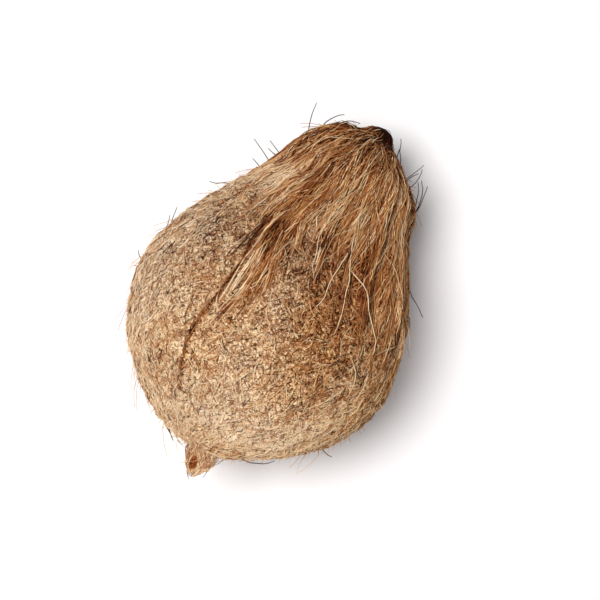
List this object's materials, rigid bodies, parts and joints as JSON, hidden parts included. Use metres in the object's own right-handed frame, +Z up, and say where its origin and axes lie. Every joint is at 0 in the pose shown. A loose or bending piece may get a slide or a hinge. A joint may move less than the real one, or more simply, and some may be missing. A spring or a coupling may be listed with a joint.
{
  "type": "semi-husked coconut",
  "caption": "Semi-husked coconut on its side: a round, felted nut drawn out into a tuft of combed coir with a dark rounded tip, a torn scrap of husk at the round end.",
  "frame": {"origin": "middle of the flat spot that the coconut rests on", "axes": "+X along the coconut towards the tip of its tuft, which dips 6 degrees below +X; +Z up from the table; +Y completes the right-handed frame"},
  "size_m": [0.1575, 0.1161, 0.1091],
  "materials": {
    "coir": "matt, fibrous"
  },
  "bodies": {
    "root": {"coconut": "coir"}
  },
  "joints": []
}
